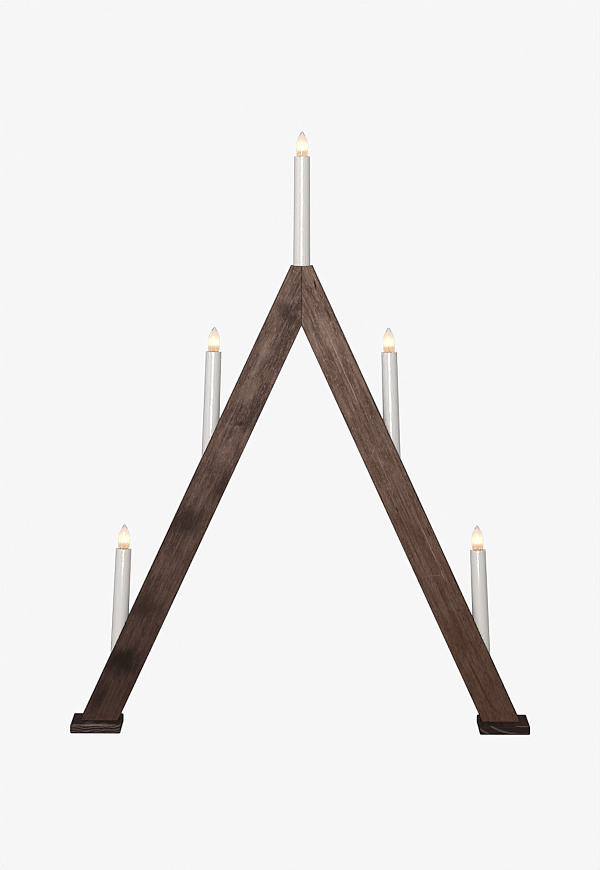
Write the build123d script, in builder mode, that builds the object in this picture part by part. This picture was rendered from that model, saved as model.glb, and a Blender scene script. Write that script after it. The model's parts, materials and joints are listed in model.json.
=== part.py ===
from build123d import *
import os
from math import cos, radians, sin, tan

# A wooden candle arch: two stained legs mitred into an A, a foot under each leg,
# and five electric candles. X runs along the arch, Y from front to back, Z up,
# and the origin is on the floor midway between the feet. Millimetres and degrees.

# Wooden frame
arch_height = 608.3  # floor to the level cut across the apex
apex_flat = 28.4  # length of that level cut
leg_angle = 24.7  # between a leg and the vertical
leg_width = 45.6  # across the front face
leg_thickness = 28.0  # front to back
arris = 1.2  # rounding of the legs' edges
seam_bevel = 0.5  # bevel on each side of the mitre seam
foot_width = 66.0
foot_depth = 110.0
foot_height = 12.0
foot_arris = 2.2  # the feet are rounded more than the legs
foot_inset = 4.6  # leg's inner corner to the foot's inner side

# Fastenings of the frame
dowel_radius = 4.0
dowel_length = 44.0
dowel_rise = 13.5  # inner corner of the mitre to the lower dowel
dowel_pitch = 17.0
dowel_clearance = 0.05
screw_radius = 2.0
screw_length = 34.0
screw_head_radius = 4.0
screw_recess = 0.6  # head below the underside of the foot
screw_tip = 4.0  # length of the pointed end
screw_pitch = 20.0  # between the two screws of a foot
screw_margin = 8.0  # inner corner of the leg to the first screw
screw_clearance = 0.05

# Candle tubes
tube_length = 150.0
tube_top_radius = 10.2
tube_base_radius = 11.1
tube_wall = 1.3
tube_rim = 0.5  # rounding of the top edge
ledge_depth = 26.0  # rim to the ledge that carries the lampholder
ledge_height = 2.0
ledge_radius = 7.4
middle_candle = 249.1  # along a leg's outer edge from the apex to the middle candle's axis
lower_candle = 123.3  # along the same edge from the foot to the lower candle's axis
middle_lean = 1.9  # candles lean in towards the top
lower_lean = 2.6
top_seat_depth = 8.0  # seat of the top candle in the apex
seat_margin = 10.1  # seat past the depth where the tube's end is just inside the leg
seat_clearance = 0.1

# Wiring inside the legs
lead_radius = 1.1
lead_spacing = 2.6  # between the two leads of a candle
lead_bend = 4.0
wire_hole_radius = 3.6
cross_hole_radius = 4.4  # holes from the channel to the wire holes
channel_offset = 24.0  # leg's outer edge to the middle of the channel
channel_width = 8.0
channel_depth = 3.2  # below the cover
cover_width = 12.0
cover_thickness = 2.5
cover_clearance = 0.15
cover_end = 20.0  # end of the cover to the end of the leg
grommet_rise = 33.0  # middle of the grommet to the end of the leg
grommet_bore = 2.5
grommet_neck = 3.7
grommet_flange = 5.5
grommet_lip = 1.5
grommet_length = 6.0
grommet_clearance = 0.05
pocket_radius = 4.4  # room for a cord behind the grommet
pocket_depth = 10.0

# Lampholder and screw thread, along the candle's axis from the rim
thread_pitch = 1.814
holder_radius = 8.7
holder_top = -5.6
well_radius = 5.55
well_floor = -16.4
shell_radius = 5.4
shell_bore = 4.85
shell_top = -6.2
shell_ridge = 0.42  # radius of the rounded thread inside the shell
contact_radius = 2.0
contact_pin = 0.8
pin_clearance = 0.05

# Bulb
cap_top = -5.0
cap_base = -13.6
cap_radius = 4.2
cap_wall = 0.45
cap_lip = 4.75
cap_lip_height = 0.4
cap_ridge = 0.4  # radius of the rounded thread outside the cap
insulator_radius = 2.5
insulator_height = 0.8
tip_radius = 1.5
tip_gap = 0.15  # bulb's tip above the centre contact
cap_clearance = 0.1
glass_wall = 0.6
neck_radius = 3.6
neck_base = -11.0
belly_radius = 7.5
belly_height = 12.5
rim_radius = 7.0  # glass where it leaves the tube
bulb_height = 32.1  # rim to the glass tip
nib_radius = 0.9  # rounded end of the glass
stem_flare = 2.9
stem_radius = 1.3
stem_top = 4.0
filament_radius = 0.25
filament_spread = 2.9
filament_low = 9.5
filament_peak = 15.0

sides = {"left": -1, "right": 1}

slope = tan(radians(leg_angle))
run = sin(radians(leg_angle))
rise = cos(radians(leg_angle))
level_width = leg_width / rise  # width of a leg on a level cut
leg_edge = (arch_height - foot_height) / rise  # length of a leg's outer edge
inner_apex = arch_height - (level_width - apex_flat / 2) / slope
back = leg_thickness / 2
foot_outer_corner = apex_flat / 2 + (arch_height - foot_height) * slope
foot_inner_corner = foot_outer_corner - level_width
foot_middle = foot_inner_corner - foot_inset + foot_width / 2
seat_radius = tube_base_radius + seat_clearance
channel_floor = back - cover_thickness - channel_depth
lead_plane = channel_floor + channel_depth / 2
channel_end = leg_edge - channel_offset * slope
apex_lead_along = (lead_spacing / 2 - apex_flat / 2 + rise * channel_offset) / run
apex_lead_height = arch_height - rise * apex_lead_along - run * channel_offset
top_seat = arch_height - top_seat_depth


def seat_depth(lean):
    return tube_base_radius / tan(radians(leg_angle - lean)) + seat_margin


def channel_reach(lean):
    return channel_offset / sin(radians(leg_angle - lean))


def candle_plane(side, along, lean):
    """Plane at a side candle's rim, its normal up the candle."""
    axis = Vector(-side * sin(radians(lean)), 0, cos(radians(lean)))
    entry = Vector(side * (apex_flat / 2 + along * run), 0, arch_height - along * rise)
    return Plane(
        origin=entry + axis * (tube_length - seat_depth(lean)),
        x_dir=Vector(cos(radians(lean)), 0, side * sin(radians(lean))),
        z_dir=axis,
    )


def bend_depth(lean):
    """Height, in a side candle's plane, where its leads turn into the channel."""
    return seat_depth(lean) - tube_length - channel_reach(lean)


def export(part, name):
    part.label = name
    export_step(part, f"parts/{name}.step")


os.makedirs("parts", exist_ok=True)

top_plane = Plane(origin=(0, 0, top_seat + tube_length))
arms = {
    "middle": (middle_candle, middle_lean),
    "lower": (leg_edge - lower_candle, lower_lean),
}
candles = {"top": top_plane}
for side_name, side in sides.items():
    for tier, (along, lean) in arms.items():
        candles[f"{tier}_{side_name}"] = candle_plane(side, along, lean)

# Back face of the right leg: x runs down the leg from the apex, y in from its outer edge
leg_back = Plane(
    origin=(apex_flat / 2, back, arch_height),
    x_dir=(run, 0, -rise),
    z_dir=(0, 1, 0),
)


def seam_along(across):
    """Distance down the leg at which a line at this distance from the outer edge starts."""
    return (rise * across - apex_flat / 2) / run


# Right leg before the cord pocket, with its candle seats, wire holes and channel
with BuildPart() as leg_blank:
    with BuildSketch(Plane.XZ):
        with BuildLine():
            Polyline(
                (foot_outer_corner, foot_height),
                (apex_flat / 2, arch_height),
                (0, arch_height),
                (0, inner_apex),
                (foot_inner_corner, foot_height),
                close=True,
            )
        make_face()
    extrude(amount=back, both=True)
    leg_faces = leg_blank.faces().sort_by(Axis.Y)
    long_edges = [
        edge
        for edge in leg_faces[0].edges() + leg_faces[-1].edges()
        if edge.center().X > arris and edge.center().Z > foot_height + arris
    ]
    apex_corner = [
        edge
        for edge in leg_blank.edges().filter_by(Axis.Y)
        if edge.center().X > arris and edge.center().Z > arch_height - arris
    ]
    fillet(long_edges + apex_corner, arris)
    with BuildSketch(Plane.XY.offset(inner_apex - arris)):
        for y in (-back, back):
            with Locations((0, y)):
                Rectangle(seam_bevel * 2**0.5, seam_bevel * 2**0.5, rotation=45)
    extrude(amount=arch_height - inner_apex + 2 * arris, mode=Mode.SUBTRACT)
    with BuildSketch(Plane.YZ):
        for count in range(2):
            with Locations((0, inner_apex + dowel_rise + count * dowel_pitch)):
                Circle(dowel_radius + dowel_clearance)
    extrude(amount=dowel_length / 2 + dowel_clearance, mode=Mode.SUBTRACT)
    for along, lean in arms.values():
        plane = candle_plane(1, along, lean)
        with BuildSketch(plane.offset(-tube_length)):
            Circle(seat_radius)
        extrude(amount=tube_length, mode=Mode.SUBTRACT)
        with BuildSketch(plane.offset(bend_depth(lean))):
            Circle(wire_hole_radius)
        extrude(amount=channel_reach(lean), mode=Mode.SUBTRACT)
        bend = plane.from_local_coords(Vector(0, 0, bend_depth(lean)))
        with BuildSketch(Plane(origin=bend - Vector(0, cross_hole_radius, 0), z_dir=(0, 1, 0))):
            Circle(cross_hole_radius)
        extrude(amount=back, mode=Mode.SUBTRACT)
    with BuildSketch(Plane.XY.offset(top_seat)):
        Circle(seat_radius)
    extrude(amount=top_seat_depth + arris, mode=Mode.SUBTRACT)
    with BuildSketch(Plane.XY.offset(apex_lead_height)):
        Circle(wire_hole_radius)
    extrude(amount=top_seat - apex_lead_height, mode=Mode.SUBTRACT)
    with BuildSketch(Plane(origin=(0, -cross_hole_radius, apex_lead_height), z_dir=(0, 1, 0))):
        Circle(cross_hole_radius)
    extrude(amount=back, mode=Mode.SUBTRACT)
    with BuildSketch(leg_back):
        with Locations(((channel_end - cover_end) / 2, channel_offset)):
            Rectangle(channel_end - cover_end, cover_width)
    extrude(amount=-cover_thickness, mode=Mode.SUBTRACT)
    with BuildSketch(leg_back.offset(-cover_thickness)):
        with Locations(((channel_end - cover_end - cover_width) / 2, channel_offset)):
            Rectangle(channel_end - cover_end - cover_width, channel_width)
    extrude(amount=-channel_depth, mode=Mode.SUBTRACT)
    with BuildSketch(Plane.XY.offset(foot_height)):
        for count in range(2):
            with Locations((foot_inner_corner + screw_margin + count * screw_pitch, 0)):
                Circle(screw_radius + screw_clearance)
    extrude(amount=screw_recess + screw_length - foot_height + screw_radius, mode=Mode.SUBTRACT)

with BuildPart() as left_leg:
    mirror(leg_blank.part, about=Plane.YZ)
export(left_leg.part, "left_leg")

grommet_along = channel_end - grommet_rise
with BuildPart() as right_leg:
    add(leg_blank.part)
    with BuildSketch(leg_back.offset(-cover_thickness)):
        with Locations((grommet_along, channel_offset)):
            Circle(pocket_radius)
    extrude(amount=-pocket_depth, mode=Mode.SUBTRACT)
export(right_leg.part, "right_leg")

# Feet, with countersunk holes from below
screw_points = [
    (foot_inner_corner + screw_margin + count * screw_pitch, 0, 0) for count in range(2)
]
with BuildPart() as right_foot:
    with BuildSketch(Plane.XY):
        with Locations((foot_middle, 0)):
            Rectangle(foot_width, foot_depth)
    extrude(amount=foot_height)
    fillet(right_foot.edges(), foot_arris)
    for point in screw_points:
        with Locations(Plane(origin=point, z_dir=(0, 0, -1))):
            CounterSinkHole(
                screw_radius + screw_clearance,
                screw_head_radius + screw_recess + screw_clearance,
                foot_height,
                counter_sink_angle=90,
            )
export(right_foot.part, "right_foot")
with BuildPart() as left_foot:
    mirror(right_foot.part, about=Plane.YZ)
export(left_foot.part, "left_foot")

with BuildPart() as foot_screw:
    with BuildSketch(Plane.XZ):
        with BuildLine():
            Polyline(
                (0, screw_recess),
                (screw_head_radius, screw_recess),
                (screw_radius, screw_recess + screw_head_radius - screw_radius),
                (screw_radius, screw_recess + screw_length - screw_tip),
                (0, screw_recess + screw_length),
                close=True,
            )
        make_face()
    revolve(axis=Axis.Z)
with BuildPart() as foot_screws:
    for side in sides.values():
        with Locations(*[(side * x, y, z) for x, y, z in screw_points]):
            add(foot_screw.part)
export(foot_screws.part, "foot_screws")

with BuildPart() as apex_dowels:
    with BuildSketch(Plane.YZ):
        for count in range(2):
            with Locations((0, inner_apex + dowel_rise + count * dowel_pitch)):
                Circle(dowel_radius)
    extrude(amount=dowel_length / 2, both=True)
    chamfer(apex_dowels.edges().filter_by(GeomType.CIRCLE), dowel_radius / 5)
export(apex_dowels.part, "apex_dowels")

# Wooden strips let into the backs of the legs over the channel
near = channel_offset - cover_width / 2 + cover_clearance
far = channel_offset + cover_width / 2 - cover_clearance
strip_end = channel_end - cover_end - cover_clearance
with BuildPart() as strip:
    with BuildSketch(leg_back.offset(-cover_thickness)):
        with BuildLine():
            Polyline(
                (seam_along(near) + cover_clearance, near),
                (strip_end, near),
                (strip_end, far),
                (seam_along(far) + cover_clearance, far),
                close=True,
            )
        make_face()
    extrude(amount=cover_thickness)
with BuildPart() as left_wire_cover:
    mirror(strip.part, about=Plane.YZ)
export(left_wire_cover.part, "left_wire_cover")
with BuildPart() as right_wire_cover:
    add(strip.part)
    with BuildSketch(leg_back.offset(-cover_thickness)):
        with Locations((grommet_along, channel_offset)):
            Circle(grommet_neck + grommet_clearance)
    extrude(amount=cover_thickness, mode=Mode.SUBTRACT)
export(right_wire_cover.part, "right_wire_cover")

# Flanged bush in the right strip, where a cord goes in
with BuildPart() as cord_grommet:
    with BuildSketch(leg_back):
        with Locations((grommet_along, channel_offset)):
            Circle(grommet_flange)
    extrude(amount=grommet_lip)
    fillet(cord_grommet.faces().sort_by(Axis.Y)[-1].edges(), grommet_lip / 2)
    with BuildSketch(leg_back):
        with Locations((grommet_along, channel_offset)):
            Circle(grommet_neck)
    extrude(amount=grommet_lip - grommet_length)
    with BuildSketch(leg_back.offset(grommet_lip)):
        with Locations((grommet_along, channel_offset)):
            Circle(grommet_bore)
    extrude(amount=-grommet_length, mode=Mode.SUBTRACT)
export(cord_grommet.part, "cord_grommet")


# Leads from one lampholder to the next: down the tube, back into the channel, along it and up
def lead_drop(candle, side, hand):
    """Points of a lead from its lampholder to the channel, beside the candle's axis."""
    plane = candles[candle]
    depth = apex_lead_height - top_seat - tube_length
    if candle != "top":
        depth = bend_depth(arms[candle.split("_")[0]][1])
    beside = side * hand * lead_spacing / 2
    holder = plane.from_local_coords(Vector(beside, 0, -ledge_depth))
    bend = plane.from_local_coords(Vector(beside, 0, depth))
    return [holder, bend, bend + Vector(0, lead_plane, 0)]


def lead(points, name):
    with BuildPart() as wire:
        with BuildLine() as route:
            FilletPolyline(*points, radius=lead_bend)
        with BuildSketch(Plane(origin=route.line @ 0, z_dir=route.line % 0)):
            Circle(lead_radius)
        sweep(path=route.line)
    export(wire.part, name)


for side_name, side in sides.items():
    top, middle, lower = "top", f"middle_{side_name}", f"lower_{side_name}"
    lead(
        lead_drop(lower, side, -1) + lead_drop(middle, side, 1)[::-1],
        f"{side_name}_lower_lead",
    )
    lead(
        lead_drop(middle, side, -1) + lead_drop(top, side, 1)[::-1],
        f"{side_name}_upper_lead",
    )
supply_end = leg_back.from_local_coords(
    Vector(grommet_along - pocket_radius, channel_offset, lead_plane - back)
)
lead(lead_drop("lower_right", 1, 1) + [supply_end], "supply_lead")


def tube_radius(depth):
    return tube_top_radius + (tube_base_radius - tube_top_radius) * depth / tube_length


# Candle tube, its rim at the origin and its axis along Z
ledge_base = ledge_depth + ledge_height
with BuildPart() as candle_tube:
    with BuildSketch(Plane.XZ):
        with BuildLine():
            Polyline(
                (tube_radius(0), 0),
                (tube_radius(tube_length), -tube_length),
                (tube_radius(tube_length) - tube_wall, -tube_length),
                (tube_radius(ledge_base) - tube_wall, -ledge_base),
                (ledge_radius, -ledge_base),
                (ledge_radius, -ledge_depth),
                (tube_radius(ledge_depth) - tube_wall, -ledge_depth),
                (tube_radius(0) - tube_wall, 0),
                close=True,
            )
        make_face()
    revolve(axis=Axis.Z)
    fillet(candle_tube.faces().sort_by(Axis.Z)[-1].edges(), tube_rim)

# Lampholder: a moulded plug with a well for the threaded shell
with BuildPart() as lampholder:
    with BuildSketch(Plane.XZ):
        with BuildLine():
            Polyline(
                (well_radius, holder_top),
                (holder_radius, holder_top),
                (holder_radius, -ledge_depth),
                (contact_pin + pin_clearance, -ledge_depth),
                (contact_pin + pin_clearance, well_floor),
                (well_radius, well_floor),
                close=True,
            )
        make_face()
    revolve(axis=Axis.Z)
    chamfer(lampholder.faces().sort_by(Axis.Z)[-1].edges(), tube_rim)


def ridge(radius, size, low, high):
    """Rounded helical thread from low to high, its centre at this radius."""
    with BuildPart() as thread:
        with BuildLine() as path:
            Helix(pitch=thread_pitch, height=high - low, radius=radius, center=(0, 0, low))
        with BuildSketch(Plane(origin=path.line @ 0, z_dir=path.line % 0)):
            Circle(size)
        sweep(path=path.line, is_frenet=True)
    return thread.part


# Brass shell that takes the bulb's thread
with BuildPart() as socket_shell:
    with BuildSketch(Plane.XZ):
        with Locations(((shell_radius + shell_bore) / 2, (shell_top + well_floor) / 2)):
            Rectangle(shell_radius - shell_bore, shell_top - well_floor)
    revolve(axis=Axis.Z)
    thread_low = cap_base + cap_ridge - thread_pitch / 2
    add(ridge(shell_bore + shell_ridge / 8, shell_ridge, thread_low, shell_top - shell_ridge))

contact_top = cap_base - 2 * insulator_height - tip_gap
with BuildPart() as centre_contact:
    with BuildSketch(Plane.XZ):
        with BuildLine():
            Polyline(
                (0, contact_top),
                (contact_radius, contact_top),
                (contact_radius, well_floor),
                (contact_pin, well_floor),
                (contact_pin, -ledge_depth),
                (0, -ledge_depth),
                close=True,
            )
        make_face()
    revolve(axis=Axis.Z)

# Bulb: threaded cap, insulator with its tip, glass, stem and filament
with BuildPart() as bulb_cap:
    with BuildSketch(Plane.XZ):
        with BuildLine():
            Polyline(
                (cap_radius, cap_base),
                (cap_radius, cap_top - cap_lip_height),
                (cap_lip, cap_top - cap_lip_height),
                (cap_lip, cap_top),
                (cap_radius - cap_wall, cap_top),
                (cap_radius - cap_wall, cap_base + cap_wall),
                (insulator_radius + cap_clearance, cap_base + cap_wall),
                (insulator_radius + cap_clearance, cap_base),
                close=True,
            )
        make_face()
    revolve(axis=Axis.Z)
    add(ridge(cap_radius + cap_ridge / 4, cap_ridge, cap_base + cap_ridge, cap_top - 2 * cap_lip_height))

with BuildPart() as bulb_contact:
    with BuildSketch(Plane.XZ):
        with BuildLine():
            Polyline(
                (0, cap_base - 2 * insulator_height),
                (tip_radius, cap_base - 2 * insulator_height),
                (tip_radius, cap_base - insulator_height),
                (insulator_radius, cap_base),
                (insulator_radius, cap_base + cap_wall),
                (0, cap_base + cap_wall),
                close=True,
            )
        make_face()
    revolve(axis=Axis.Z)


def glass_outline(inset):
    """Half outline of the bulb from its neck to its tip, moved in by the wall."""
    neck = (neck_radius - inset, cap_top + inset)
    leaving = (rim_radius - inset, 0)
    belly = (belly_radius - inset, belly_height)
    nib = (nib_radius - inset / 2, bulb_height - nib_radius / 2 - inset)
    Line((neck[0], neck_base), neck)
    TangentArc(leaving, neck, tangent=(0, -1))
    TangentArc(belly, leaving, tangent=(0, -1))
    TangentArc(belly, nib, tangent=(0, 1))
    TangentArc((0, bulb_height - inset), nib, tangent=(1, 0))


with BuildPart() as bulb_glass:
    with BuildSketch(Plane.XZ):
        with BuildLine():
            glass_outline(0)
            Polyline((0, bulb_height), (0, neck_base), (neck_radius, neck_base))
        make_face()
    revolve(axis=Axis.Z)
    with BuildSketch(Plane.XZ):
        with BuildLine():
            glass_outline(glass_wall)
            Polyline((0, bulb_height - glass_wall), (0, neck_base), (neck_radius - glass_wall, neck_base))
        make_face()
    revolve(axis=Axis.Z, mode=Mode.SUBTRACT)

with BuildPart() as bulb_stem:
    with BuildSketch(Plane.XZ):
        with BuildLine():
            Polyline(
                (0, neck_base),
                (stem_flare, neck_base),
                (stem_flare, neck_base + stem_radius),
                (stem_radius, cap_top),
                (stem_radius, stem_top),
                (0, stem_top),
                close=True,
            )
        make_face()
    revolve(axis=Axis.Z)

with BuildPart() as bulb_filament:
    lead_in = stem_radius - 2 * filament_radius
    with BuildLine() as loop:
        FilletPolyline(
            (-lead_in, 0, stem_top),
            (-lead_in, 0, stem_top + stem_radius),
            (-filament_spread, 0, filament_low),
            (0, 0, filament_peak),
            (filament_spread, 0, filament_low),
            (lead_in, 0, stem_top + stem_radius),
            (lead_in, 0, stem_top),
            radius=stem_radius / 2,
        )
    with BuildSketch(Plane(origin=loop.line @ 0, z_dir=loop.line % 0)):
        Circle(filament_radius)
    sweep(path=loop.line)

# The same candle stands in all five seats
candle_pieces = {
    "candle_tube": candle_tube,
    "lampholder": lampholder,
    "socket_shell": socket_shell,
    "centre_contact": centre_contact,
    "bulb_cap": bulb_cap,
    "bulb_contact": bulb_contact,
    "bulb_glass": bulb_glass,
    "bulb_stem": bulb_stem,
    "bulb_filament": bulb_filament,
}
for candle, plane in candles.items():
    for piece, built in candle_pieces.items():
        export(built.part.moved(plane.location), f"{piece}_{candle}")
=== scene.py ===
import json
import math
import bmesh
import bpy
from mathutils import Matrix, Vector


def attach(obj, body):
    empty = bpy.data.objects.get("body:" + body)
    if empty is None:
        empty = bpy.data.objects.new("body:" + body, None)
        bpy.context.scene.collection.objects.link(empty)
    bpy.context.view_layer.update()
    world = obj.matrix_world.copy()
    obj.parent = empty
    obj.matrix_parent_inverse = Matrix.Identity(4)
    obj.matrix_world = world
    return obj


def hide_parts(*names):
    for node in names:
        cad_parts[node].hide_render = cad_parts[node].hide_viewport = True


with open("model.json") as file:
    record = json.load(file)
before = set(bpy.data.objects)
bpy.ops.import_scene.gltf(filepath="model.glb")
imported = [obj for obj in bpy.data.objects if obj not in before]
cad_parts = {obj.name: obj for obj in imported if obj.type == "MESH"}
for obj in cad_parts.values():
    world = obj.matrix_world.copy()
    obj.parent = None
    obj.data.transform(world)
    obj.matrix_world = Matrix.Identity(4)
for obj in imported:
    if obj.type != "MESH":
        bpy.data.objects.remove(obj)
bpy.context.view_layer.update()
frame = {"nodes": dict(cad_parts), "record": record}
nodes = frame["nodes"]
scene = bpy.context.scene
mm = 0.001
print("frame loaded:", len(nodes), "nodes")


# sRGB hex to linear
def linear(hexColour):
    parts = [int(hexColour[i:i + 2], 16) / 255 for i in (1, 3, 5)]
    return [p / 12.92 if p <= 0.04045 else ((p + 0.055) / 1.055) ** 2.4 for p in parts] + [1.0]


# an input is a plain value, or a socket to link from
def addNode(tree, kind, inputs=None, **settings):
    node = tree.nodes.new(kind)
    for key, value in settings.items():
        setattr(node, key, value)
    for key, value in (inputs or {}).items():
        if isinstance(value, bpy.types.NodeSocket):
            tree.links.new(value, node.inputs[key])
        else:
            node.inputs[key].default_value = value
    return node


def startMaterial(name, **values):
    material = bpy.data.materials.new(name)
    material.use_nodes = True
    shader = material.node_tree.nodes["Principled BSDF"]
    for key, value in values.items():
        shader.inputs[key.replace("_", " ")].default_value = value
    return material, material.node_tree, shader


def paint(material, *names):
    for name in names:
        for slot in nodes[name].material_slots:
            slot.material = material


# camera: well back, a little higher than the top candle and tipped down, with a slight roll
camera = dict(distance=6.0, height=0.8707, aside=-0.0015, pitch=4.612, roll=0.2,
              focal=4606.8, frameHeight=870, sensor=36.0, farClip=50)  # focal and frameHeight in pixels
cameraData = bpy.data.cameras.new("camera")
cameraData.sensor_fit = "VERTICAL"
cameraData.sensor_height = camera["sensor"]
cameraData.lens = camera["focal"] / camera["frameHeight"] * camera["sensor"]
cameraData.clip_end = camera["farClip"]
cameraObject = bpy.data.objects.new("camera", cameraData)
scene.collection.objects.link(cameraObject)
cameraPlace = Matrix.Translation((camera["aside"], -camera["distance"], camera["height"]))
cameraAim = (Matrix.Rotation(math.radians(90 - camera["pitch"]), 4, "X")
             @ Matrix.Rotation(math.radians(camera["roll"]), 4, "Z"))
cameraObject.matrix_world = cameraPlace @ cameraAim
scene.camera = cameraObject
print("camera set")

# candles: the rim and the axis of each come from its bulb's joint
turnJoint = "bulb_turn_"
candlePlaces = {}
for joint in frame["record"]["behaviour"]["joints"]:
    if joint["name"].startswith(turnJoint):
        lean = math.atan2(joint["axis"][0], joint["axis"][2])
        place = Matrix.Translation(Vector(joint["pos_m"])) @ Matrix.Rotation(lean, 4, "Y")
        candlePlaces[joint["name"].removeprefix(turnJoint)] = place

meshing = dict(smoothUpTo=35, weld=0.0005, onRing=0.001)  # degrees, then millimetres


# finishes a bmesh drawn upright in millimetres with its candle's rim at the origin
def finishPiece(bm, name, candle, body, replaced, material):
    mesh = bpy.data.meshes.new(name)
    bm.to_mesh(mesh)
    bm.free()
    mesh.shade_smooth()
    mesh.set_sharp_from_angle(angle=math.radians(meshing["smoothUpTo"]))
    rise = mesh.attributes.new("rise", "FLOAT", "POINT")  # height above the rim
    for vertex in mesh.vertices:
        rise.data[vertex.index].value = vertex.co.z
    mesh.transform(candlePlaces[candle] @ Matrix.Scale(mm, 4))
    mesh.materials.append(material)
    piece = bpy.data.objects.new(name, mesh)
    scene.collection.objects.link(piece)
    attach(piece, body)
    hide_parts(replaced)


def spinOutline(outline, steps, closed):
    bm = bmesh.new()
    points = [bm.verts.new((r, 0, z)) for r, z in outline]
    ends = points[1:] + points[:1] if closed else points[1:]
    for a, b in zip(points, ends):
        bm.edges.new((a, b))
    bmesh.ops.spin(bm, geom=bm.verts[:] + bm.edges[:], cent=(0, 0, 0), axis=(0, 0, 1),
                   angle=2 * math.pi, steps=steps, use_merge=True)
    bmesh.ops.remove_doubles(bm, verts=bm.verts[:], dist=meshing["weld"])
    bmesh.ops.recalc_face_normals(bm, faces=bm.faces[:])
    return bm


def roundRings(bm, rings, width, segments):
    def lies(vertex, r, z):
        return max(abs(vertex.co.z - z), abs(vertex.co.xy.length - r)) < meshing["onRing"]

    edges = [edge for edge in bm.edges
             if any(all(lies(vertex, r, z) for vertex in edge.verts) for r, z in rings)]
    bmesh.ops.bevel(bm, geom=edges, offset=width, offset_type="OFFSET", segments=segments,
                    profile=0.5, affect="EDGES", material=-1)


legs = dict(height=608.3, apexFlat=28.4, width=45.6, thickness=28.0, angle=24.7)  # as the solids have them
legAngle = math.radians(legs["angle"])
legEdge = (legs["apexFlat"] / 2 * math.cos(legAngle) + legs["height"] * math.sin(legAngle)) * mm
legHalf = legs["width"] / 2 * mm
legMiddle = legEdge - legHalf  # a leg's middle line from the origin, square to the grain
legFace = legs["thickness"] / 2 * mm

# stained wood: birch boards, planed and rubbed with a dark brown stain. The eye sees fine fibres, pale
# flecks where the stain didn't take, dark pores, dark clouds where it took more, and a satin sheen
woodSurface = dict(noiseRoughness=0.6, markDepth=30, markRagged=1.6, fibreSpan=(0.35, 0.65),
                   roughSpread=(-0.08, 0.1), bump=0.6)


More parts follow.
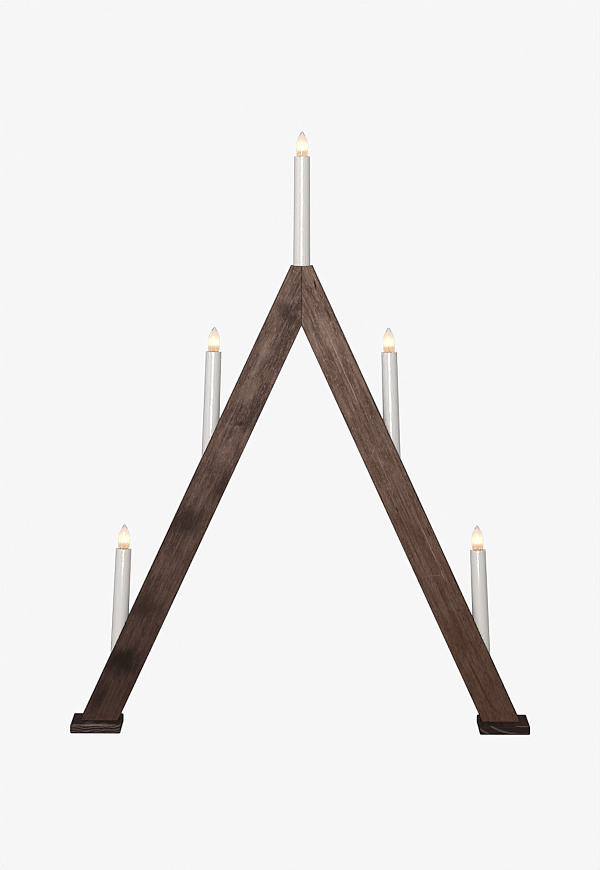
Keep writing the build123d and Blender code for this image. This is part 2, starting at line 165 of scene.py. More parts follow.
def stainedWood(name, look):
    material, tree, shader = startMaterial(name, Specular_IOR_Level=look["gloss"])
    coords = addNode(tree, "ShaderNodeTexCoord")
    grain = addNode(tree, "ShaderNodeMapping", {
        "Vector": coords.outputs["Object"], "Rotation": look["turn"]})
    spot = addNode(tree, "ShaderNodeSeparateXYZ", {0: coords.outputs["Object"]})

    # height, and the distances from the mitre and from the middle of the depth
    fields = {"rise": spot.outputs[2]}
    fields["seam"] = addNode(tree, "ShaderNodeMath", {0: spot.outputs[0]}, operation="ABSOLUTE").outputs[0]
    fields["depth"] = addNode(tree, "ShaderNodeMath", {0: spot.outputs[1]}, operation="ABSOLUTE").outputs[0]

    # on a leg, how near the arris is
    if "middle" in look:
        local = addNode(tree, "ShaderNodeSeparateXYZ", {0: grain.outputs[0]})
        across = addNode(tree, "ShaderNodeMath", {
            0: local.outputs[0], 1: look["middle"]}, operation="SUBTRACT")
        aside = addNode(tree, "ShaderNodeMath", {0: across.outputs[0]}, operation="ABSOLUTE")
        toSide = addNode(tree, "ShaderNodeMath", {0: aside.outputs[0], 1: legHalf}, operation="SUBTRACT")
        toFace = addNode(tree, "ShaderNodeMath", {0: fields["depth"], 1: legFace}, operation="SUBTRACT")
        fields["arris"] = addNode(tree, "ShaderNodeMath", {
            0: toSide.outputs[0], 1: toFace.outputs[0]}, operation="MINIMUM").outputs[0]

    for field, (wide, long, detail, climb) in look["noises"].items():
        place = addNode(tree, "ShaderNodeMapping", {
            "Vector": grain.outputs[0], "Location": look["shift"],
            "Scale": (1 / (wide * mm), 1 / (wide * mm), 1 / (long * mm))})
        noise = addNode(tree, "ShaderNodeTexNoise", {
            "Vector": place.outputs[0], "Scale": 1.0, "Detail": detail,
            "Roughness": woodSurface["noiseRoughness"]})
        fields[field] = addNode(tree, "ShaderNodeMath", {
            0: spot.outputs[2], 1: climb, 2: noise.outputs[0]}, operation="MULTIPLY_ADD").outputs[0]

    # on a foot's ends, year rings round the pith, bent by the clouds
    if "pith" in look:
        bend = addNode(tree, "ShaderNodeMath", {
            0: fields["cloud"], 1: look["ringBend"] * mm}, operation="MULTIPLY")
        fromPith = addNode(tree, "ShaderNodeVectorMath", {
            0: grain.outputs[0], 1: [at * mm for at in look["pith"]]}, operation="SUBTRACT")
        level = addNode(tree, "ShaderNodeVectorMath", {
            0: fromPith.outputs[0], 1: (1, 1, 0)}, operation="MULTIPLY")
        radius = addNode(tree, "ShaderNodeVectorMath", {0: level.outputs[0]}, operation="LENGTH")
        year = addNode(tree, "ShaderNodeMath", {
            0: radius.outputs["Value"], 1: bend.outputs[0]}, operation="ADD")
        count = addNode(tree, "ShaderNodeMath", {
            0: year.outputs[0], 1: look["ringWidth"] * mm}, operation="DIVIDE")
        ring = addNode(tree, "ShaderNodeMath", {0: count.outputs[0]}, operation="FRACT")
        ends = addNode(tree, "ShaderNodeMath", {
            0: fields["depth"], 1: look["endGrain"]}, operation="GREATER_THAN")
        fields["endRings"] = addNode(tree, "ShaderNodeMath", {
            0: ends.outputs[0], 1: ring.outputs[0]}, operation="MULTIPLY").outputs[0]

    for field, (x, z, wide, long, turn) in look["marks"].items():
        place = addNode(tree, "ShaderNodeMapping", {
            "Vector": coords.outputs["Object"], "Location": (x * mm, look["front"], z * mm),
            "Scale": (wide * mm, woodSurface["markDepth"] * mm, long * mm),
            "Rotation": (0, math.radians(turn), 0)}, vector_type="TEXTURE")
        reach = addNode(tree, "ShaderNodeVectorMath", {0: place.outputs[0]}, operation="LENGTH")
        fields[field] = addNode(tree, "ShaderNodeMath", {
            0: fields["ragged"], 1: woodSurface["markRagged"], 2: reach.outputs["Value"]},
            operation="MULTIPLY_ADD").outputs[0]

    colour = linear(look["tone"])
    for field, low, high, strength, shade in look["layers"]:
        amount = addNode(tree, "ShaderNodeMapRange", {
            "Value": fields[field], "From Min": low, "From Max": high, "To Max": strength})
        colour = addNode(tree, "ShaderNodeMix", {
            0: amount.outputs[0], 6: colour, 7: linear(shade)}, data_type="RGBA").outputs[2]
    tree.links.new(colour, shader.inputs["Base Color"])
    rough = addNode(tree, "ShaderNodeMapRange", {
        "Value": fields["fibre"],
        "From Min": woodSurface["fibreSpan"][0], "From Max": woodSurface["fibreSpan"][1],
        "To Min": look["roughness"] + woodSurface["roughSpread"][0],
        "To Max": look["roughness"] + woodSurface["roughSpread"][1]})
    tree.links.new(rough.outputs[0], shader.inputs["Roughness"])
    bump = addNode(tree, "ShaderNodeBump", {
        "Height": fields["fibre"], "Strength": woodSurface["bump"], "Distance": look["relief"] * mm})
    tree.links.new(bump.outputs[0], shader.inputs["Normal"])
    return material


# noises: width, length along the grain, detail and gain per metre of height, with sizes in millimetres. The
# gain gives more pale flecks and fewer dark pores higher up, partly painted sheen
# marks: x, z, half width, half length and turn on the front face, in millimetres and degrees
# layers: field, where it starts, where it is full, strength and colour, each laid over the one before
# fibres and flecks are drawn about 1 mm wide, coarser than the wood's own, so that they show
woodLook = dict(
    gloss=0.1, roughness=0.55, relief=0.2, shift=(0, 0, 0), marks={},
    noises=dict(fibre=(1.0, 13, 2, 0.0), fleck=(0.75, 4.2, 1, 0.16), pore=(0.8, 4.5, 1, 0.12),
                tint=(18, 40, 2, 0.0), figure=(2.6, 80, 3, 0.0), cloud=(26, 48, 4, 0.0),
                ragged=(9, 22, 3, 0.0)))

# painted shade on the sides, a dark line along each arris that is partly stain and partly painted shade,
# and a thin one along the mitre
edgeLinesAndSideShade = [("depth", legFace - 0.6 * mm, legFace - 1.6 * mm, 0.3, "#2a1b15"),
               ("arris", -1.5 * mm, -0.5 * mm, 0.8, "#0e0b0a"),
               ("seam", 1.4 * mm, 0.4 * mm, 0.3, "#1d120d")]

leftLegLook = dict(
    woodLook, turn=(0, -legAngle, 0), middle=-legMiddle, front=-legFace, shift=(3.1, 0, 1.7),
    tone="#7e6156",
    marks=dict(
        upperDark=(-19, 548, 10, 24, -40), upperSilk=(-58, 478, 5, 45, 25), knotSilk=(-65, 445, 7, 24, 25),
        innerDark=(-63, 414, 9, 20, 25), knot=(-79, 402, 10, 3.6, -8), knotShade=(-70, 396, 12, 10, 25),
        middleSilk=(-101, 360, 11, 26, 25), innerCloud=(-101, 322, 10, 22, 25),
        cloudPatch=(-149, 277, 19, 24, 10), patch=(-201, 160, 16, 20, 60),
        stain=(-232, 89, 19, 24, 30), heel=(-262, 44, 8, 26, 25)),
    layers=[("tint", 0.42, 0.58, 0.6, "#6a5043"), ("cloud", 0.44, 0.6, 0.68, "#46302a"),
            ("figure", 0.5, 0.64, 0.5, "#452e27"), ("figure", 0.47, 0.36, 0.45, "#92776a"),
            ("upperSilk", 2.0, 1.1, 0.5, "#a08577"), ("knotSilk", 2.0, 1.1, 0.4, "#a38979"),
            ("middleSilk", 2.0, 1.1, 0.4, "#8f7466"),
            ("fibre", 0.53, 0.68, 0.38, "#33211b"), ("fibre", 0.45, 0.34, 0.38, "#9c8172"),
            # rise: darker towards the bottom, partly the wood's own tone and partly painted shade where the
            # sheen fades
            ("fleck", 0.69, 0.82, 0.46, "#c4ad9a"), ("rise", 0.42, 0.08, 0.76, "#3a2119"),
            ("pore", 0.42, 0.31, 0.62, "#22140f"),
            ("upperDark", 2.0, 1.2, 0.6, "#35231e"), ("knotShade", 2.0, 1.2, 0.2, "#302019"),
            ("knot", 1.9, 1.2, 0.6, "#1d110d"), ("innerDark", 2.0, 1.2, 0.25, "#2b1a16"),
            ("innerCloud", 2.0, 1.2, 0.55, "#2b1b17"), ("cloudPatch", 2.0, 1.2, 0.7, "#281a17"),
            ("patch", 2.0, 1.2, 0.6, "#241511"), ("stain", 2.0, 1.2, 0.8, "#190f0c"),
            ("heel", 2.0, 1.2, 0.5, "#1e120e")] + edgeLinesAndSideShade)
rightLegLook = dict(
    woodLook, turn=(0, legAngle, 0), middle=legMiddle, front=-legFace, shift=(0.4, 0, 5.3),
    tone="#896b5f",
    marks=dict(
        crack=(17.7, 583, 1.4, 9, -14), topShade=(24, 560, 16, 26, -30), paleTop=(34, 520, 9, 34, -25),
        upperLine=(52, 480, 0.7, 80, -24), innerShade=(74, 388, 8, 30, -25),
        midLine=(108, 342, 0.7, 45, -24), dash=(126, 290, 1.2, 5, -20), sideDash=(166, 263, 1.0, 10, -25),
        lowerLine=(168, 244, 0.7, 95, -24), scratch=(144, 227, 1.0, 9, 35),
        crossLine=(173, 204, 18, 0.6, -5), lowShade=(204, 118, 10, 30, -25),
        grainLine=(231, 70, 1.6, 75, -28)),
    layers=[("tint", 0.42, 0.58, 0.6, "#755b4c"), ("cloud", 0.46, 0.62, 0.6, "#543b31"),
            ("figure", 0.5, 0.64, 0.5, "#523a30"), ("figure", 0.47, 0.36, 0.45, "#9c8071"),
            ("paleTop", 2.0, 1.1, 0.45, "#a88d7e"), ("topShade", 2.0, 1.2, 0.4, "#4d362d"),
            ("innerShade", 2.0, 1.2, 0.3, "#402c26"), ("lowShade", 2.0, 1.2, 0.35, "#352118"),
            ("fibre", 0.53, 0.68, 0.4, "#3f2920"), ("fibre", 0.45, 0.34, 0.4, "#a48878"),
            # rise: darker towards the bottom, partly the wood's own tone and partly painted shade where the
            # sheen fades
            ("fleck", 0.69, 0.82, 0.65, "#ccb5a1"), ("rise", 0.5, 0.06, 0.72, "#553424"),
            ("pore", 0.44, 0.32, 0.62, "#26150e"), ("figure", 0.5, 0.62, 0.2, "#371f16"),
            ("upperLine", 1.7, 1.2, 0.6, "#c4aa98"), ("lowerLine", 1.7, 1.2, 0.65, "#b08d78"),
            ("midLine", 1.7, 1.2, 0.35, "#b8a08e"), ("crossLine", 1.7, 1.2, 0.5, "#96705c"),
            ("grainLine", 1.9, 1.2, 0.55, "#2b1810"), ("crack", 1.8, 1.3, 0.95, "#140b08"),
            ("dash", 1.8, 1.3, 0.85, "#1c100b"), ("sideDash", 1.8, 1.3, 0.85, "#1c100b"),
            ("scratch", 1.8, 1.2, 0.6, "#24150e")] + edgeLinesAndSideShade)

# cover strips: the same wood, plainer and a little darker
stripLook = dict(
    woodLook, tone="#6b5045",
    layers=[("figure", 0.44, 0.62, 0.5, "#3c2821"), ("fibre", 0.5, 0.66, 0.5, "#2f1e18"),
            ("fleck", 0.7, 0.82, 0.4, "#987a66")])
leftStripLook = dict(stripLook, turn=(0, -legAngle, 0), shift=(7, 0, 2))
rightStripLook = dict(stripLook, turn=(0, legAngle, 0), shift=(1, 0, 9))

# feet: the grain runs from front to back, so the year rings show on the front end
footFace = 55 * mm
footLook = dict(
    woodLook, turn=(math.radians(90), 0, 0), tone="#3e2d29", roughness=0.6, gloss=0.08, relief=0.1,
    front=-footFace, endGrain=footFace - 1.5 * mm,
    layers=[("figure", 0.42, 0.62, 0.5, "#271a16"), ("fibre", 0.5, 0.66, 0.5, "#1f1411"),
            ("fleck", 0.64, 0.77, 0.35, "#7b665a"),
            ("depth", footFace - 2.5 * mm, footFace - 1.0 * mm, 0.6, "#241817")])
leftFootLook = dict(
    footLook, pith=(-272, -170, 0), ringWidth=3.3, ringBend=10, shift=(2, 5, 0),
    marks=dict(paleEdge=(-264, 11.4, 30, 0.7, 0)),
    layers=footLook["layers"] + [("endRings", 0.4, 1.0, 0.6, "#85716b"),
                                 ("paleEdge", 2.0, 1.2, 0.6, "#9a8a83")])
rightFootLook = dict(
    footLook, pith=(290.5, -86.5, 0), ringWidth=11, ringBend=3, shift=(6, 1, 3),
    layers=footLook["layers"] + [("endRings", 0.72, 1.0, 0.6, "#7d6d69")])

# dowels: plain turned beech, pale, with short dark flecks
dowelLook = dict(
    woodLook, turn=(0, math.radians(90), 0), tone="#c9a67c", roughness=0.6,
    layers=[("figure", 0.44, 0.62, 0.4, "#b58e63"), ("fleck", 0.6, 0.74, 0.5, "#8d6a47")])

woodFinishes = [
    ("stainedBirchLeft", leftLegLook, "left_leg"), ("stainedBirchRight", rightLegLook, "right_leg"),
    ("stainedStripLeft", leftStripLook, "left_wire_cover"),
    ("stainedStripRight", rightStripLook, "right_wire_cover"),
    ("stainedFootLeft", leftFootLook, "left_foot"), ("stainedFootRight", rightFootLook, "right_foot"),
    ("beechDowel", dowelLook, "apex_dowels")]
for name, look, node in woodFinishes:
    paint(stainedWood(name, look), node)
print("wood done")


# small parts: one colour mottled by a second, with a fine relief; grit and relief in millimetres
def speckled(name, tone, second, grit, relief, roughness, spread=0.05, detail=3.0, bumpStrength=0.2,
             **values):
    material, tree, shader = startMaterial(name, **values)
    coords = addNode(tree, "ShaderNodeTexCoord")
    noise = addNode(tree, "ShaderNodeTexNoise", {
        "Vector": coords.outputs["Object"], "Scale": 1 / (grit * mm), "Detail": detail})
    colour = addNode(tree, "ShaderNodeMix", {
        0: noise.outputs[0], 6: linear(tone), 7: linear(second)}, data_type="RGBA")
    tree.links.new(colour.outputs[2], shader.inputs["Base Color"])
    rough = addNode(tree, "ShaderNodeMapRange", {
        "Value": noise.outputs[0], "To Min": roughness - spread, "To Max": roughness + spread})
    tree.links.new(rough.outputs[0], shader.inputs["Roughness"])
    bump = addNode(tree, "ShaderNodeBump", {
        "Height": noise.outputs[0], "Strength": bumpStrength, "Distance": relief * mm})
    tree.links.new(bump.outputs[0], shader.inputs["Normal"])
    return material


# phenolic resin, moulded: dull cream with a soft gloss
holderResin = speckled(
    "phenolicMoulding", "#e6e1d6", "#d8d2c4", grit=2.0, relief=0.02, roughness=0.5)
# brass, pressed from sheet: yellow and fairly bright
contactBrass = speckled(
    "pressedBrass", "#d9b36a", "#c39a52", grit=1.5, relief=0.01, roughness=0.28, Metallic=1.0)
# brass, rolled to a thread and nickelled: pale with a warm cast
capNickel = speckled(
    "nickelledCap", "#d8cdb4", "#c2b596", grit=1.2, relief=0.01, roughness=0.25, Metallic=1.0)
# solder, set as a drop: dull grey
tipSolder = speckled(
    "solderTip", "#9a9690", "#77726b", grit=0.9, relief=0.02, roughness=0.42, Metallic=1.0)
# steel, zinc plated: cool grey
screwZinc = speckled(
    "zincScrew", "#b9bcc0", "#9da2a8", grit=1.0, relief=0.01, roughness=0.35, Metallic=1.0)
# vinyl, extruded over the wire: off white
leadSleeve = speckled(
    "vinylSleeve", "#e3e1db", "#d2cfc7", grit=3.0, relief=0.02, roughness=0.45)
# rubber, moulded: near black and matt
grommetRubber = speckled(
    "grommetRubber", "#1d1c1b", "#272524", grit=0.8, relief=0.03, roughness=0.7)
paint(screwZinc, "foot_screws")
paint(grommetRubber, "cord_grommet")
paint(leadSleeve, *[name for name in nodes if name.endswith("_lead")])
for candle in candlePlaces:
    paint(holderResin, f"lampholder_{candle}")
    paint(contactBrass, f"socket_shell_{candle}", f"centre_contact_{candle}")
    paint(capNickel, f"bulb_cap_{candle}")
    paint(tipSolder, f"bulb_contact_{candle}")
print("small finishes done")

# candle tubes: white plastic, extruded; glossy, with faint waves along the wall
candleTube = dict(topRadius=10.2, baseRadius=11.1, length=150, wall=1.3, ledge=26, ledgeHeight=2,
                  ledgeRadius=7.4, rim=0.5, rimSegments=4, steps=96)
tubePlastic = speckled(
    "glossWhitePlastic", "#f2efec", "#eceae6", grit=14.0, relief=0.04, roughness=0.15, spread=0.03)


def tubeRadius(depth):
    flare = candleTube["baseRadius"] - candleTube["topRadius"]
    return candleTube["topRadius"] + flare * depth / candleTube["length"]


def tubeBore(depth):
    return tubeRadius(depth) - candleTube["wall"]


ledgeTop = candleTube["ledge"]
ledgeBase = ledgeTop + candleTube["ledgeHeight"]
tubeEnd = candleTube["length"]
tubeOutline = [(tubeRadius(0), 0), (tubeRadius(tubeEnd), -tubeEnd), (tubeBore(tubeEnd), -tubeEnd),
               (tubeBore(ledgeBase), -ledgeBase), (candleTube["ledgeRadius"], -ledgeBase),
               (candleTube["ledgeRadius"], -ledgeTop), (tubeBore(ledgeTop), -ledgeTop), (tubeBore(0), 0)]
rimRings = [(tubeRadius(0), 0), (tubeBore(0), 0)]
for candle in candlePlaces:
    bm = spinOutline(tubeOutline, candleTube["steps"], True)
    roundRings(bm, rimRings, candleTube["rim"], candleTube["rimSegments"])
    finishPiece(bm, f"candleTube_{candle}", candle, "frame", f"candle_tube_{candle}",
                tubePlastic)
print("candle tubes done")


# arc that leaves a point with this heading and ends at another
def tangentArc(start, heading, end, steps):
    start, heading, end = Vector(start), Vector(heading), Vector(end)
    chord = end - start
    turn = -heading.angle_signed(chord)
    for step in range(steps + 1):
        part = turn * step / steps
        reach = chord.length * (math.sin(part) / math.sin(turn))
        yield tuple(start + Matrix.Rotation(part, 2) @ heading * reach)


# bulbs: blown clear glass, drawn to a point at the tip. The faint warm tints and glow are painted light
# from the filament inside, and the dark outline of its tip is painted shade where the glass turns edge-on
bulbGlass = dict(neck=3.6, neckBase=-11.0, capTop=-5.0, rim=7.0, belly=7.5, bellyHeight=12.5, height=32.1,
                 nib=0.9, wall=0.6, steps=64, arcSteps=9, nibSteps=4)
neck = (bulbGlass["neck"], bulbGlass["capTop"])
leaving = (bulbGlass["rim"], 0)
belly = (bulbGlass["belly"], bulbGlass["bellyHeight"])
nib = (bulbGlass["nib"], bulbGlass["height"] - bulbGlass["nib"] / 2)
tip = (0, bulbGlass["height"])
glassOutline = [(bulbGlass["neck"], bulbGlass["neckBase"])]
glassOutline += list(tangentArc(leaving, (0, -1), neck, bulbGlass["arcSteps"]))[::-1]
glassOutline += list(tangentArc(belly, (0, -1), leaving, bulbGlass["arcSteps"]))[-2::-1]
glassOutline += list(tangentArc(belly, (0, 1), nib, 2 * bulbGlass["arcSteps"]))[1:]
glassOutline += list(tangentArc(tip, (1, 0), nib, bulbGlass["nibSteps"]))[-2::-1]

# painted light: warm tints and a glow by the share of the height above the rim
glassLook = dict(
    tints=[(0.0, "#f5e2d6"), (0.16, "#f6e2cc"), (0.3, "#fff7e6"), (0.52, "#fff7e6"), (0.68, "#fbefe2"),
           (0.86, "#f7ecea"), (1.0, "#ffffff")],
    paintedGlow=[(0.0, 0.03), (0.16, 0.02), (0.28, 0.06), (0.42, 0.08), (0.56, 0.05), (0.72, 0.03), (0.86, 0.02),
          (1.0, 0.0)],
    glowTone="#fff3dc", paintedOutlineTone="#4a4542", outlineBlend=0.5, outlineFacing=(0.15, 0.6),
    outlineShare=(0.8, 0.93))
glassMaterial, tree, shader = startMaterial("blownGlass", Transmission_Weight=1.0, Roughness=0.0, IOR=1.5)
rise = addNode(tree, "ShaderNodeAttribute", attribute_name="rise")
share = addNode(tree, "ShaderNodeMapRange", {
    "Value": rise.outputs["Fac"], "From Min": 0.0, "From Max": bulbGlass["height"]})
warm = addNode(tree, "ShaderNodeValToRGB", {0: share.outputs[0]})
rampStops = warm.color_ramp.elements
rampStops[0].color = linear(glassLook["tints"][0][1])
rampStops[1].color = linear(glassLook["tints"][-1][1])
for at, shade in glassLook["tints"][1:-1]:
    rampStops.new(at).color = linear(shade)
# painted shade: a dark outline where the glass of the tip turns edge-on
facing = addNode(tree, "ShaderNodeLayerWeight", {"Blend": glassLook["outlineBlend"]})
rimShare = addNode(tree, "ShaderNodeMapRange", {
    "Value": facing.outputs["Facing"],
    "From Min": glassLook["outlineFacing"][0], "From Max": glassLook["outlineFacing"][1]})
tipShare = addNode(tree, "ShaderNodeMapRange", {
    "Value": share.outputs[0],
    "From Min": glassLook["outlineShare"][0], "From Max": glassLook["outlineShare"][1]})
outline = addNode(tree, "ShaderNodeMath", {
    0: rimShare.outputs[0], 1: tipShare.outputs[0]}, operation="MULTIPLY")
tint = addNode(tree, "ShaderNodeMix", {
    0: outline.outputs[0], 6: warm.outputs[0], 7: linear(glassLook["paintedOutlineTone"])}, data_type="RGBA")
tree.links.new(tint.outputs[2], shader.inputs["Base Color"])
paintedGlow = addNode(tree, "ShaderNodeFloatCurve", {"Value": share.outputs[0]})
glowPoints = paintedGlow.mapping.curves[0].points
glowPoints[0].location = glassLook["paintedGlow"][0]
glowPoints[1].location = glassLook["paintedGlow"][-1]
for at, level in glassLook["paintedGlow"][1:-1]:
    glowPoints.new(at, level)
paintedGlow.mapping.update()
tree.links.new(paintedGlow.outputs[0], shader.inputs["Emission Strength"])
shader.inputs["Emission Color"].default_value = linear(glassLook["glowTone"])

# stems: pressed glass. The amber light from the filament above is painted into its colour, brighter towards
# the top, and into a faint glow
bulbStem = dict(
    outline=[(0, -11), (2.9, -11), (2.9, -9.7), (1.3, -5), (1.25, 0), (1.3, 2.6), (1.15, 3.7), (0, 4)],
    steps=32, pinch=0.6, pinchFrom=1, litFrom=-3.0, litTo=4.0, lowTone="#c09c68", highTone="#e8cfa2",
    glowTone="#d8be8c", paintedGlow=0.38)
stemMaterial, tree, shader = startMaterial(
    "stemPaintedAmberLight", Transmission_Weight=0.55, Roughness=0.12, IOR=1.5, Emission_Strength=bulbStem["paintedGlow"])
rise = addNode(tree, "ShaderNodeAttribute", attribute_name="rise")
lit = addNode(tree, "ShaderNodeMapRange", {
    "Value": rise.outputs["Fac"], "From Min": bulbStem["litFrom"], "From Max": bulbStem["litTo"]})
paintedStemLight = addNode(tree, "ShaderNodeMix", {
    0: lit.outputs[0], 6: linear(bulbStem["lowTone"]), 7: linear(bulbStem["highTone"])}, data_type="RGBA")
tree.links.new(paintedStemLight.outputs[2], shader.inputs["Base Color"])
shader.inputs["Emission Color"].default_value = linear(bulbStem["glowTone"])

# filaments: coiled tungsten, white hot, on dull leads that grow hot where the coil starts; below that the
# leads keep a faint painted glow
bulbFilament = dict(
    lead=0.8, sunk=1.0, foot=4.0, start=5.3, spread=2.9, low=9.5, peak=15.0, coilDrop=0.6, coilRadius=0.42,
    wireRadius=0.16, bevelSteps=1, turns=22, perTurn=10, coolBelow=8.0, hotAbove=11.0, leadPaintedGlow=0.4,
    hotGlow=24.0, glowTone="#fff1de", tone="#6b5a4a")
hotMaterial, tree, shader = startMaterial("glowingTungsten", Roughness=0.5)
rise = addNode(tree, "ShaderNodeAttribute", attribute_name="rise")
heat = addNode(tree, "ShaderNodeMapRange", {
    "Value": rise.outputs["Fac"],
    "From Min": bulbFilament["coolBelow"], "From Max": bulbFilament["hotAbove"],
    "To Min": bulbFilament["leadPaintedGlow"], "To Max": bulbFilament["hotGlow"]})
tree.links.new(heat.outputs[0], shader.inputs["Emission Strength"])
shader.inputs["Emission Color"].default_value = linear(bulbFilament["glowTone"])
shader.inputs["Base Color"].default_value = linear(bulbFilament["tone"])


# a coil that climbs to the peak and comes down again
def filamentRoute():
    peak = bulbFilament["peak"] - bulbFilament["coilDrop"]
    corners = [Vector((-bulbFilament["spread"], 0, bulbFilament["low"])), Vector((0, 0, peak)),
               Vector((bulbFilament["spread"], 0, bulbFilament["low"]))]
    count = bulbFilament["turns"] * bulbFilament["perTurn"]
    for step in range(count + 1):
        along = 2 * step / count
        first = min(int(along), 1)
        start, end = corners[first], corners[first + 1]
        run = (end - start).normalized()
        beside = Vector((0, 1, 0))
        over = run.cross(beside)
        turn = 2 * math.pi * step / bulbFilament["perTurn"]
        coil = (beside * math.cos(turn) + over * math.sin(turn)) * bulbFilament["coilRadius"]
        yield start.lerp(end, along - first) + coil


def leadRoute(side):
    x = side * bulbFilament["lead"]
    return [(x, 0, bulbFilament["foot"] - bulbFilament["sunk"]), (x, 0, bulbFilament["start"]),
            (side * bulbFilament["spread"], 0, bulbFilament["low"])]


def wireMesh(routes, radius):
    curve = bpy.data.curves.new("wire", "CURVE")
    curve.dimensions = "3D"
    curve.bevel_depth = radius
    curve.bevel_resolution = bulbFilament["bevelSteps"]
    curve.use_fill_caps = True
    for route in routes:
        spline = curve.splines.new("POLY")
        spline.points.add(len(route) - 1)
        for point, at in zip(spline.points, route):
            point.co = (*at, 1)
    holder = bpy.data.objects.new("wire", curve)
    bm = bmesh.new()
    bm.from_mesh(bpy.data.meshes.new_from_object(holder))
    bpy.data.objects.remove(holder)
    return bm


filamentRoutes = [list(filamentRoute()), leadRoute(-1), leadRoute(1)]
for candle in candlePlaces:
    body = f"bulb_{candle}"
    bm = spinOutline(glassOutline, bulbGlass["steps"], False)
    bmesh.ops.solidify(bm, geom=bm.faces[:], thickness=bulbGlass["wall"])
    finishPiece(bm, f"bulbGlass_{candle}", candle, body, f"bulb_glass_{candle}",
                glassMaterial)
    bm = spinOutline(bulbStem["outline"], bulbStem["steps"], False)
    for vertex in bm.verts:
        if vertex.co.z > bulbStem["pinchFrom"]:
            vertex.co.y *= bulbStem["pinch"]  # the press that holds the wires is flat
    finishPiece(bm, f"bulbStem_{candle}", candle, body, f"bulb_stem_{candle}",
                stemMaterial)
    bm = wireMesh(filamentRoutes, bulbFilament["wireRadius"])
    finishPiece(bm, f"bulbFilament_{candle}", candle, body, f"bulb_filament_{candle}",
                hotMaterial)
print("bulbs done")

# stage: a pale floor and a backdrop of the same brightness, so that no edge shows. What the object gets
# from the floor is dimmer than the floor looks, so that undersides stay dark
stageTone = "#f6f6f6"
stageFloor = dict(reach=6.0, segments=2, drop=0.5, bounceTone="#6a6662")  # metres; drop in millimetres
floorMaterial = bpy.data.materials.new("paleFloor")
floorMaterial.use_nodes = True
tree = floorMaterial.node_tree
tree.nodes.clear()
path = addNode(tree, "ShaderNodeLightPath")
seen = addNode(tree, "ShaderNodeMath", {
    0: path.outputs["Is Camera Ray"], 1: path.outputs["Is Transmission Ray"]}, operation="MAXIMUM")
floorTone = addNode(tree, "ShaderNodeMix", {
    0: seen.outputs[0], 6: linear(stageFloor["bounceTone"]), 7: linear(stageTone)}, data_type="RGBA")
floorLight = addNode(tree, "ShaderNodeEmission", {"Color": floorTone.outputs[2]})
addNode(tree, "ShaderNodeOutputMaterial", {"Surface": floorLight.outputs[0]})
bm = bmesh.new()
bmesh.ops.create_grid(bm, x_segments=stageFloor["segments"], y_segments=stageFloor["segments"],
                      size=stageFloor["reach"])
floorMesh = bpy.data.meshes.new("floor")
bm.to_mesh(floorMesh)
bm.free()
floorMesh.materials.append(floorMaterial)
floor = bpy.data.objects.new("floor", floorMesh)
floor.location.z = -stageFloor["drop"] * mm
scene.collection.objects.link(floor)

# room light: brighter from the front and from the left, and dim where gloss mirrors it. Each has two
# directions, as shares along Y for the front and along X for the others, and the brightness at each
roomLight = dict(front=(0.5, -0.8, 0.3, 0.62), left=(0.9, -0.6, 0.8, 1.15), mirrored=(0.9, -0.6, 0.02, 0.2))
rangeEnds = ("From Min", "From Max", "To Min", "To Max")
world = bpy.data.worlds.new("studio")
scene.world = world
world.use_nodes = True
tree = world.node_tree
tree.nodes.clear()
coords = addNode(tree, "ShaderNodeTexCoord")
parts = addNode(tree, "ShaderNodeSeparateXYZ", {0: coords.outputs["Generated"]})
front = addNode(tree, "ShaderNodeMapRange", {
    "Value": parts.outputs[1], **dict(zip(rangeEnds, roomLight["front"]))})
left = addNode(tree, "ShaderNodeMapRange", {
    "Value": parts.outputs[0], **dict(zip(rangeEnds, roomLight["left"]))})
fill = addNode(tree, "ShaderNodeMath", {0: front.outputs[0], 1: left.outputs[0]}, operation="MULTIPLY")
path = addNode(tree, "ShaderNodeLightPath")
mirrored = addNode(tree, "ShaderNodeMapRange", {
    "Value": parts.outputs[0], **dict(zip(rangeEnds, roomLight["mirrored"]))})
bounced = addNode(tree, "ShaderNodeMix", {
    0: path.outputs["Is Glossy Ray"], 2: fill.outputs[0], 3: mirrored.outputs[0]})
seen = addNode(tree, "ShaderNodeMath", {
    0: path.outputs["Is Camera Ray"], 1: path.outputs["Is Transmission Ray"]}, operation="MAXIMUM")
tone = addNode(tree, "ShaderNodeMix", {
    0: seen.outputs[0], 6: bounced.outputs[0], 7: linear(stageTone)}, data_type="RGBA")
backdrop = addNode(tree, "ShaderNodeBackground", {"Color": tone.outputs[2]})
addNode(tree, "ShaderNodeOutputWorld", {"Surface": backdrop.outputs[0]})

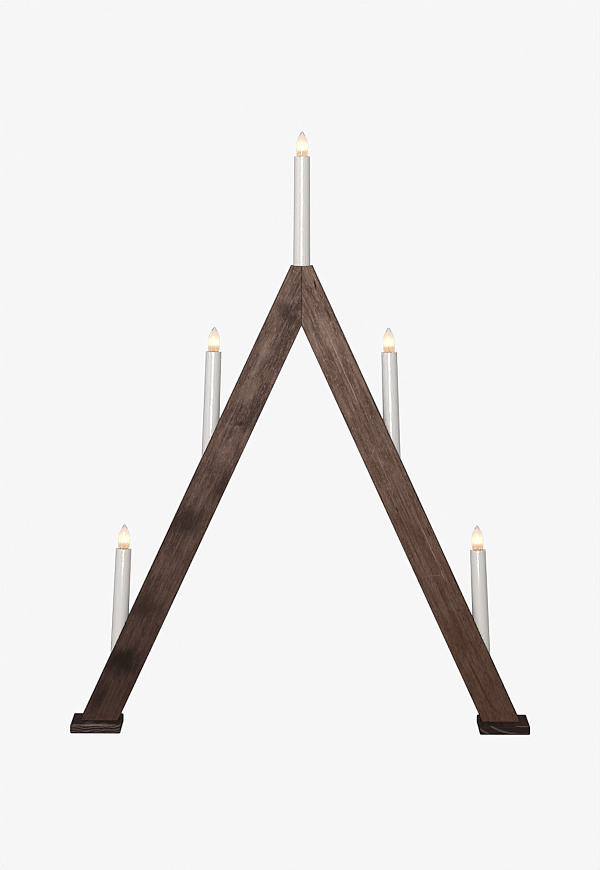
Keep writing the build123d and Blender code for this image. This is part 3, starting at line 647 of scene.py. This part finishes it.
# lamps: the strip gives shine alone, for the bright line on the tubes, and the back fill gives none
studioLights = dict(
    softbox=dict(place=(-0.2, -2.6, 1.15), aim=(-0.2, 0, 1.15), size=(1.1, 1.6), power=34),
    strip=dict(place=(-0.2, -2.58, 1.1), aim=(-0.2, 0, 1.1), size=(0.28, 1.5), power=24, diffuse=False),
    sideFill=dict(place=(-2.2, -1.2, 1.3), aim=(0, 0, 0.4), size=(1.0, 1.6), power=6),
    backFill=dict(place=(1.3, 2.2, 1.3), aim=(0, 0, 0.4), size=(1.6, 1.6), power=26, glossy=False))
for name, light in studioLights.items():
    data = bpy.data.lights.new(name, "AREA")
    data.shape = "RECTANGLE"
    data.size, data.size_y = light["size"]
    data.energy = light["power"]
    lamp = bpy.data.objects.new(name, data)
    lamp.location = light["place"]
    beam = Vector(light["aim"]) - Vector(light["place"])
    lamp.rotation_euler = beam.to_track_quat("-Z", "Y").to_euler()
    lamp.visible_camera = False
    lamp.visible_diffuse = light.get("diffuse", True)
    lamp.visible_glossy = light.get("glossy", True)
    lamp.visible_transmission = False  # the bulbs' glass shows the backdrop, not the lamps behind it
    scene.collection.objects.link(lamp)
scene.view_settings.view_transform = "Standard"
scene.view_settings.look = "None"

# lens: a bloom round the lit filaments, then a light sharpening, made on the brightness as it is shown
lens = dict(threshold=1.6, strength=0.19, size=0.1, sharpening=0.1, displayGamma=2.2)
scene.use_nodes = True
tree = scene.node_tree
tree.nodes.clear()
layers = addNode(tree, "CompositorNodeRLayers")
bloom = addNode(tree, "CompositorNodeGlare", {
    "Image": layers.outputs["Image"], "Threshold": lens["threshold"], "Strength": lens["strength"],
    "Size": lens["size"]}, glare_type="BLOOM", quality="HIGH")
clipped = addNode(tree, "CompositorNodeMixRGB", {0: 0.0, 1: bloom.outputs[0]}, use_clamp=True)
shown = addNode(tree, "CompositorNodeGamma", {
    "Image": clipped.outputs[0], "Gamma": 1 / lens["displayGamma"]})
crisp = addNode(tree, "CompositorNodeFilter", {
    "Fac": lens["sharpening"], "Image": shown.outputs[0]}, filter_type="SHARPEN")
linearAgain = addNode(tree, "CompositorNodeGamma", {
    "Image": crisp.outputs[0], "Gamma": lens["displayGamma"]})
addNode(tree, "CompositorNodeComposite", {"Image": linearAgain.outputs[0]})
print("stage and light done")
